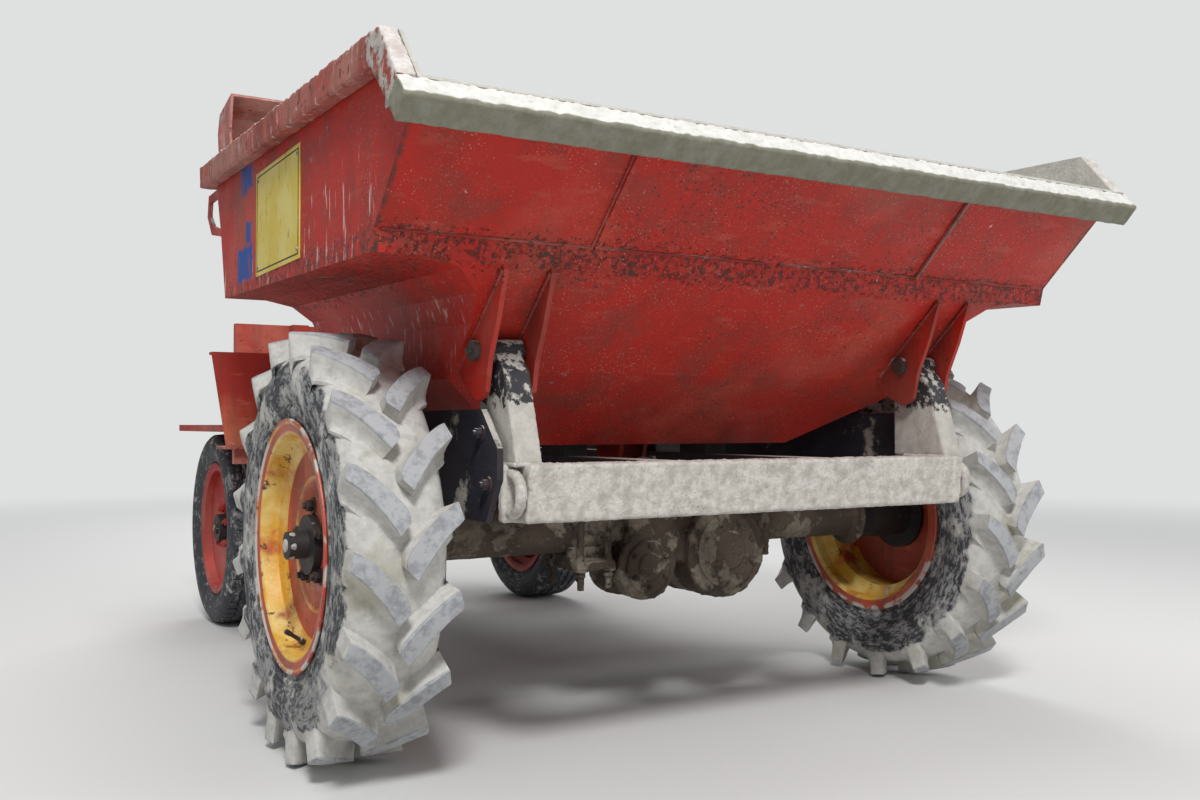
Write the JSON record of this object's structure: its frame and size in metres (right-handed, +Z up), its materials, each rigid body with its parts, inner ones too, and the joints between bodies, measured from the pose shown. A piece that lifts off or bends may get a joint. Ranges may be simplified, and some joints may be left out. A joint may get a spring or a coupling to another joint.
{
  "type": "site dumper",
  "caption": "Small four-wheel site dumper with a front-tipping open skip, rear-wheel steering, lugged front tyres and a driver's seat over the engine.",
  "frame": {"origin": "on the ground, at the middle of the whole machine's box", "axes": "+Z up, -Y is the machine's front (the skip's lip), +X is its left side"},
  "size_m": [1.774, 2.846, 1.504],
  "materials": {
    "red_paint": "satin",
    "skip_paint": "worn",
    "black_paint": "satin",
    "bare_steel": "satin",
    "cast_iron": "rough",
    "tyre_rubber": "matte",
    "rest_rubber": "matte",
    "seat_vinyl": "satin",
    "grip_plastic": "matte"
  },
  "bodies": {
    "chassis": {"air_filter": "black_paint", "axle_clamp": "black_paint", "ballast_plate": "red_paint", "chassis_frame": "black_paint", "controls": "bare_steel", "drive_shaft": "bare_steel", "engine_block": "cast_iron", "engine_cylinders": "cast_iron", "exhaust": "bare_steel", "flywheel_cowl": "cast_iron", "footboard": "red_paint", "front_axle": "black_paint", "front_beam": "black_paint", "fuel_tank": "black_paint", "gear_case": "cast_iron", "gearbox": "cast_iron", "lashing_loops": "black_paint", "oil_tank": "black_paint", "ram_pin": "bare_steel", "rear_axle": "cast_iron", "rear_fenders": "red_paint", "rear_guard": "red_paint", "seat_back": "seat_vinyl", "seat_cushion": "seat_vinyl", "seat_frame": "red_paint", "side_plates": "black_paint", "skip_posts": "black_paint", "skip_rests": "rest_rubber", "steering_column": "black_paint", "toe_board": "red_paint", "tow_jaw": "black_paint"},
    "skip": {"skip_tub": "skip_paint", "skip_lip": "skip_paint", "panel_ribs": "skip_paint", "skip_rim": "skip_paint", "spill_guard": "skip_paint", "skip_ears": "skip_paint", "hinge_pins": "bare_steel", "skip_handles": "skip_paint", "rod_bracket": "skip_paint"},
    "ram_barrel": {"lift_barrel": "black_paint"},
    "ram_rod": {"lift_rod": "bare_steel"},
    "link_rod": {"tie_rod": "bare_steel"},
    "hand_wheel": {"steering_wheel": "grip_plastic"},
    "front_wheel_left": {"front_tyre_left": "tyre_rubber", "front_rim_left": "red_paint", "front_hub_left": "black_paint"},
    "rear_wheel_left": {"rear_tyre_left": "tyre_rubber", "rear_rim_left": "red_paint", "rear_hub_left": "black_paint"},
    "steer_knuckle_left": {"knuckle_left": "cast_iron"},
    "front_wheel_right": {"front_tyre_right": "tyre_rubber", "front_rim_right": "red_paint", "front_hub_right": "black_paint"},
    "rear_wheel_right": {"rear_tyre_right": "tyre_rubber", "rear_rim_right": "red_paint", "rear_hub_right": "black_paint"},
    "steer_knuckle_right": {"knuckle_right": "cast_iron"}
  },
  "joints": [
    {"name": "skip_tip", "type": "hinge", "parent": "chassis", "child": "skip", "pos_m": [0, -1.06499, 0.81], "axis": [1, 0, 0], "range_deg": [0, 70]},
    {"name": "ram_swing", "type": "hinge", "parent": "chassis", "child": "ram_barrel", "pos_m": [0, -1.07699, 0.53], "axis": [1, 0, 0], "range_deg": [0, 54.19]},
    {"name": "ram_extend", "type": "slide", "parent": "ram_barrel", "child": "ram_rod", "axis": [0, 0.998, 0.0637], "range_m": [0, 0.2933]},
    {"name": "steer_left", "type": "hinge", "parent": "chassis", "child": "steer_knuckle_left", "pos_m": [0.43, 0.96801, 0.32], "axis": [0, 0, 1], "range_deg": [-30, 30]},
    {"name": "steer_right", "type": "hinge", "parent": "chassis", "child": "steer_knuckle_right", "pos_m": [-0.43, 0.96801, 0.32], "axis": [0, 0, 1], "range_deg": [-30, 30]},
    {"name": "tie_rod_pivot", "type": "hinge", "parent": "steer_knuckle_left", "child": "link_rod", "pos_m": [0.43, 1.09801, 0.32], "axis": [0, 0, 1], "range_deg": [-30, 30]},
    {"name": "hand_wheel_turn", "type": "hinge", "parent": "chassis", "child": "hand_wheel", "pos_m": [0, 0.71578, 1.15159], "axis": [0, 0.4067, 0.9135], "range_deg": [-360, 360]},
    {"name": "front_spin_left", "type": "hinge", "parent": "chassis", "child": "front_wheel_left", "pos_m": [0.778, -0.74699, 0.4295], "axis": [1, 0, 0], "continuous": true},
    {"name": "rear_spin_left", "type": "hinge", "parent": "steer_knuckle_left", "child": "rear_wheel_left", "pos_m": [0.575, 0.96801, 0.32], "axis": [1, 0, 0], "continuous": true},
    {"name": "front_spin_right", "type": "hinge", "parent": "chassis", "child": "front_wheel_right", "pos_m": [-0.778, -0.74699, 0.4295], "axis": [1, 0, 0], "continuous": true},
    {"name": "rear_spin_right", "type": "hinge", "parent": "steer_knuckle_right", "child": "rear_wheel_right", "pos_m": [-0.575, 0.96801, 0.32], "axis": [1, 0, 0], "continuous": true}
  ],
  "couplings": [
    {"joint": "ram_swing", "follows": "skip_tip", "ratio": 0.7742},
    {"joint": "ram_extend", "follows": "skip_tip", "m_per_rad": 0.2401},
    {"joint": "steer_right", "follows": "steer_left", "ratio": 1},
    {"joint": "tie_rod_pivot", "follows": "steer_left", "ratio": -1},
    {"joint": "hand_wheel_turn", "follows": "steer_left", "ratio": 12}
  ]
}
